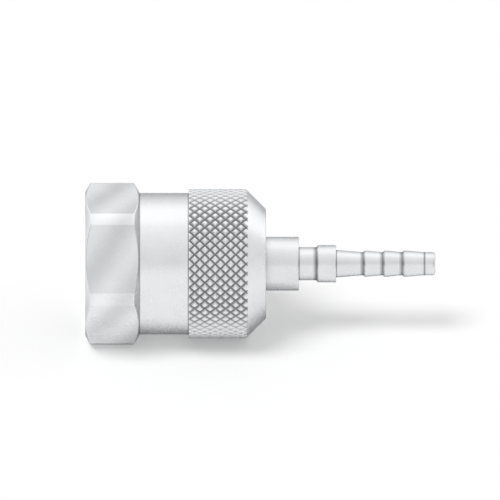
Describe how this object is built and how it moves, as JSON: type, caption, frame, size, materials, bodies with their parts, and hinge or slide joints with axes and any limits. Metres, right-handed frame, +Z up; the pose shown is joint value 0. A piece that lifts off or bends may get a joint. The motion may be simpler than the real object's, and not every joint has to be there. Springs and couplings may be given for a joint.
{
  "type": "test point coupling",
  "caption": "Screw-on hydraulic test point coupling: a union nut with hexagon and diamond knurl swivels on a stem with a valve-opening probe and a barbed hose tail.",
  "frame": {"origin": "on the axis of the part, in the plane of the nut's open front face", "axes": "+X along the axis from the open face of the nut towards the barbed hose end, +Z up with one flat of the hexagon facing straight down, +Y completes the right-handed frame"},
  "size_m": [0.0455, 0.021, 0.0194],
  "materials": {
    "hose_stem": "bright turned steel with a thin zinc plating",
    "union_nut": "bright turned and knurled steel with a thin zinc plating"
  },
  "bodies": {
    "stem": {"hose_stem": "hose_stem"},
    "nut": {"union_nut": "union_nut"}
  },
  "joints": [
    {"name": "nut_swivel", "type": "hinge", "parent": "stem", "child": "nut", "pos_m": [0, 0, 0], "axis": [1, 0, 0], "continuous": true}
  ]
}
